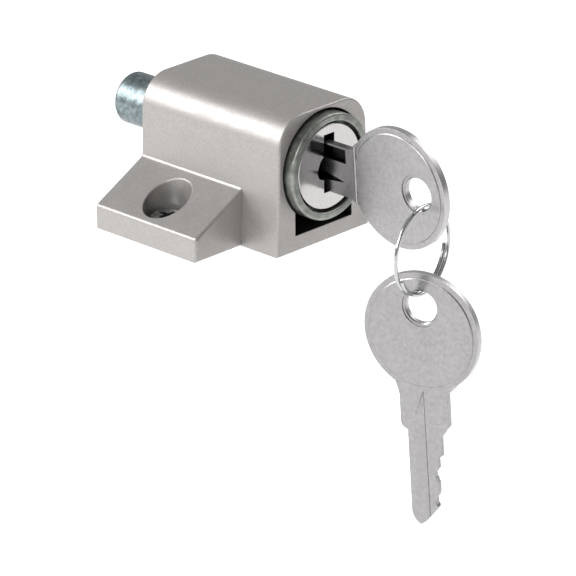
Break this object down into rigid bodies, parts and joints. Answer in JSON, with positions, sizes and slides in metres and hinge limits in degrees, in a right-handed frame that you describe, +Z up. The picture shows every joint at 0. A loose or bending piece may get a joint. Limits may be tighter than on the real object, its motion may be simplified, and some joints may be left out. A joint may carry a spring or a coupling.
{
  "type": "keyed push-in sash lock",
  "caption": "Keyed push-in lock for a sliding sash: cast housing with two screw feet, sliding barrel and bolt, turning plug, key in place and spare key on a split ring.",
  "frame": {"origin": "on the mounting face, midway between the two screw holes", "axes": "+X across the lock, +Y from the key side to the bolt side, +Z up off the sash"},
  "size_m": [0.0516, 0.0937, 0.0819],
  "materials": {
    "cast_housing": "satin silver-grey lacquer over zinc die casting",
    "raw_zinc": "dull greenish grey cast zinc",
    "plug_nickel": "polished satin nickel",
    "key_nickel": "satin nickel with a fine brushed grain",
    "ring_steel": "bright nickel-plated wire",
    "bolt_plate": "bluish mottled zinc plate",
    "zinc_plate": "bright zinc plate",
    "spring_steel": "bright drawn spring wire",
    "wafer_brass": "stamped brass"
  },
  "bodies": {
    "case": {"housing": "cast_housing", "stop_pin": "zinc_plate", "mounting_screw_left": "zinc_plate", "mounting_screw_right": "zinc_plate"},
    "slider": {"barrel": "raw_zinc", "bolt_carrier": "raw_zinc", "carrier_screw_left": "zinc_plate", "carrier_screw_right": "zinc_plate", "bolt": "bolt_plate", "return_spring": "spring_steel", "dog_spring": "spring_steel"},
    "dog": {"locking_dog": "zinc_plate"},
    "cylinder": {"plug": "plug_nickel", "plug_clip": "spring_steel", "cam": "zinc_plate", "wafer_spring_1": "spring_steel", "wafer_spring_2": "spring_steel", "wafer_spring_3": "spring_steel", "wafer_spring_4": "spring_steel", "wafer_spring_5": "spring_steel"},
    "wafer_1": {"wafer_1": "wafer_brass"},
    "wafer_2": {"wafer_2": "wafer_brass"},
    "wafer_3": {"wafer_3": "wafer_brass"},
    "wafer_4": {"wafer_4": "wafer_brass"},
    "wafer_5": {"wafer_5": "wafer_brass"},
    "key_in_lock": {"key": "key_nickel"},
    "ring": {"split_ring": "ring_steel"},
    "hanging_key": {"spare_key": "key_nickel"}
  },
  "joints": [
    {"name": "barrel_slide", "type": "slide", "parent": "case", "child": "slider", "axis": [0, -1, 0], "range_m": [0, 0.0135], "deforming": ["return_spring"]},
    {"name": "dog_slide", "type": "slide", "parent": "slider", "child": "dog", "axis": [0, 0, -1], "range_m": [0, 0.0022], "deforming": ["dog_spring"]},
    {"name": "key_turn", "type": "hinge", "parent": "slider", "child": "cylinder", "pos_m": [0, -0.02425, 0.01635], "axis": [0, -1, 0], "range_deg": [-90, 0]},
    {"name": "wafer_1_slide", "type": "slide", "parent": "cylinder", "child": "wafer_1", "axis": [0, 0, -1], "range_m": [0, 0.0009], "deforming": ["wafer_spring_1"]},
    {"name": "wafer_2_slide", "type": "slide", "parent": "cylinder", "child": "wafer_2", "axis": [0, 0, -1], "range_m": [0, 0.0009], "deforming": ["wafer_spring_2"]},
    {"name": "wafer_3_slide", "type": "slide", "parent": "cylinder", "child": "wafer_3", "axis": [0, 0, -1], "range_m": [0, 0.0009], "deforming": ["wafer_spring_3"]},
    {"name": "wafer_4_slide", "type": "slide", "parent": "cylinder", "child": "wafer_4", "axis": [0, 0, -1], "range_m": [0, 0.0009], "deforming": ["wafer_spring_4"]},
    {"name": "wafer_5_slide", "type": "slide", "parent": "cylinder", "child": "wafer_5", "axis": [0, 0, -1], "range_m": [0, 0.0009], "deforming": ["wafer_spring_5"]},
    {"name": "key_slide", "type": "slide", "parent": "cylinder", "child": "key_in_lock", "axis": [0, -1, 0], "range_m": [0, 0.03]},
    {"name": "ring_swing", "type": "hinge", "parent": "key_in_lock", "child": "ring", "pos_m": [0, -0.05074, 0.01428], "axis": [-0.9871, -0.1599, 0], "range_deg": [-10, 45]},
    {"name": "spare_key_swing", "type": "hinge", "parent": "ring", "child": "hanging_key", "pos_m": [0, -0.05076, -0.00358], "axis": [-0.9871, -0.1599, 0], "range_deg": [-15, 18]}
  ],
  "couplings": [
    {"joint": "dog_slide", "follows": "key_turn", "m_per_rad": -0.0014},
    {"joint": "wafer_1_slide", "follows": "key_slide", "ratio": 0.0299},
    {"joint": "wafer_2_slide", "follows": "key_slide", "ratio": 0.0299},
    {"joint": "wafer_3_slide", "follows": "key_slide", "ratio": 0.0299},
    {"joint": "wafer_4_slide", "follows": "key_slide", "ratio": 0.0299},
    {"joint": "wafer_5_slide", "follows": "key_slide", "ratio": 0.0299}
  ]
}
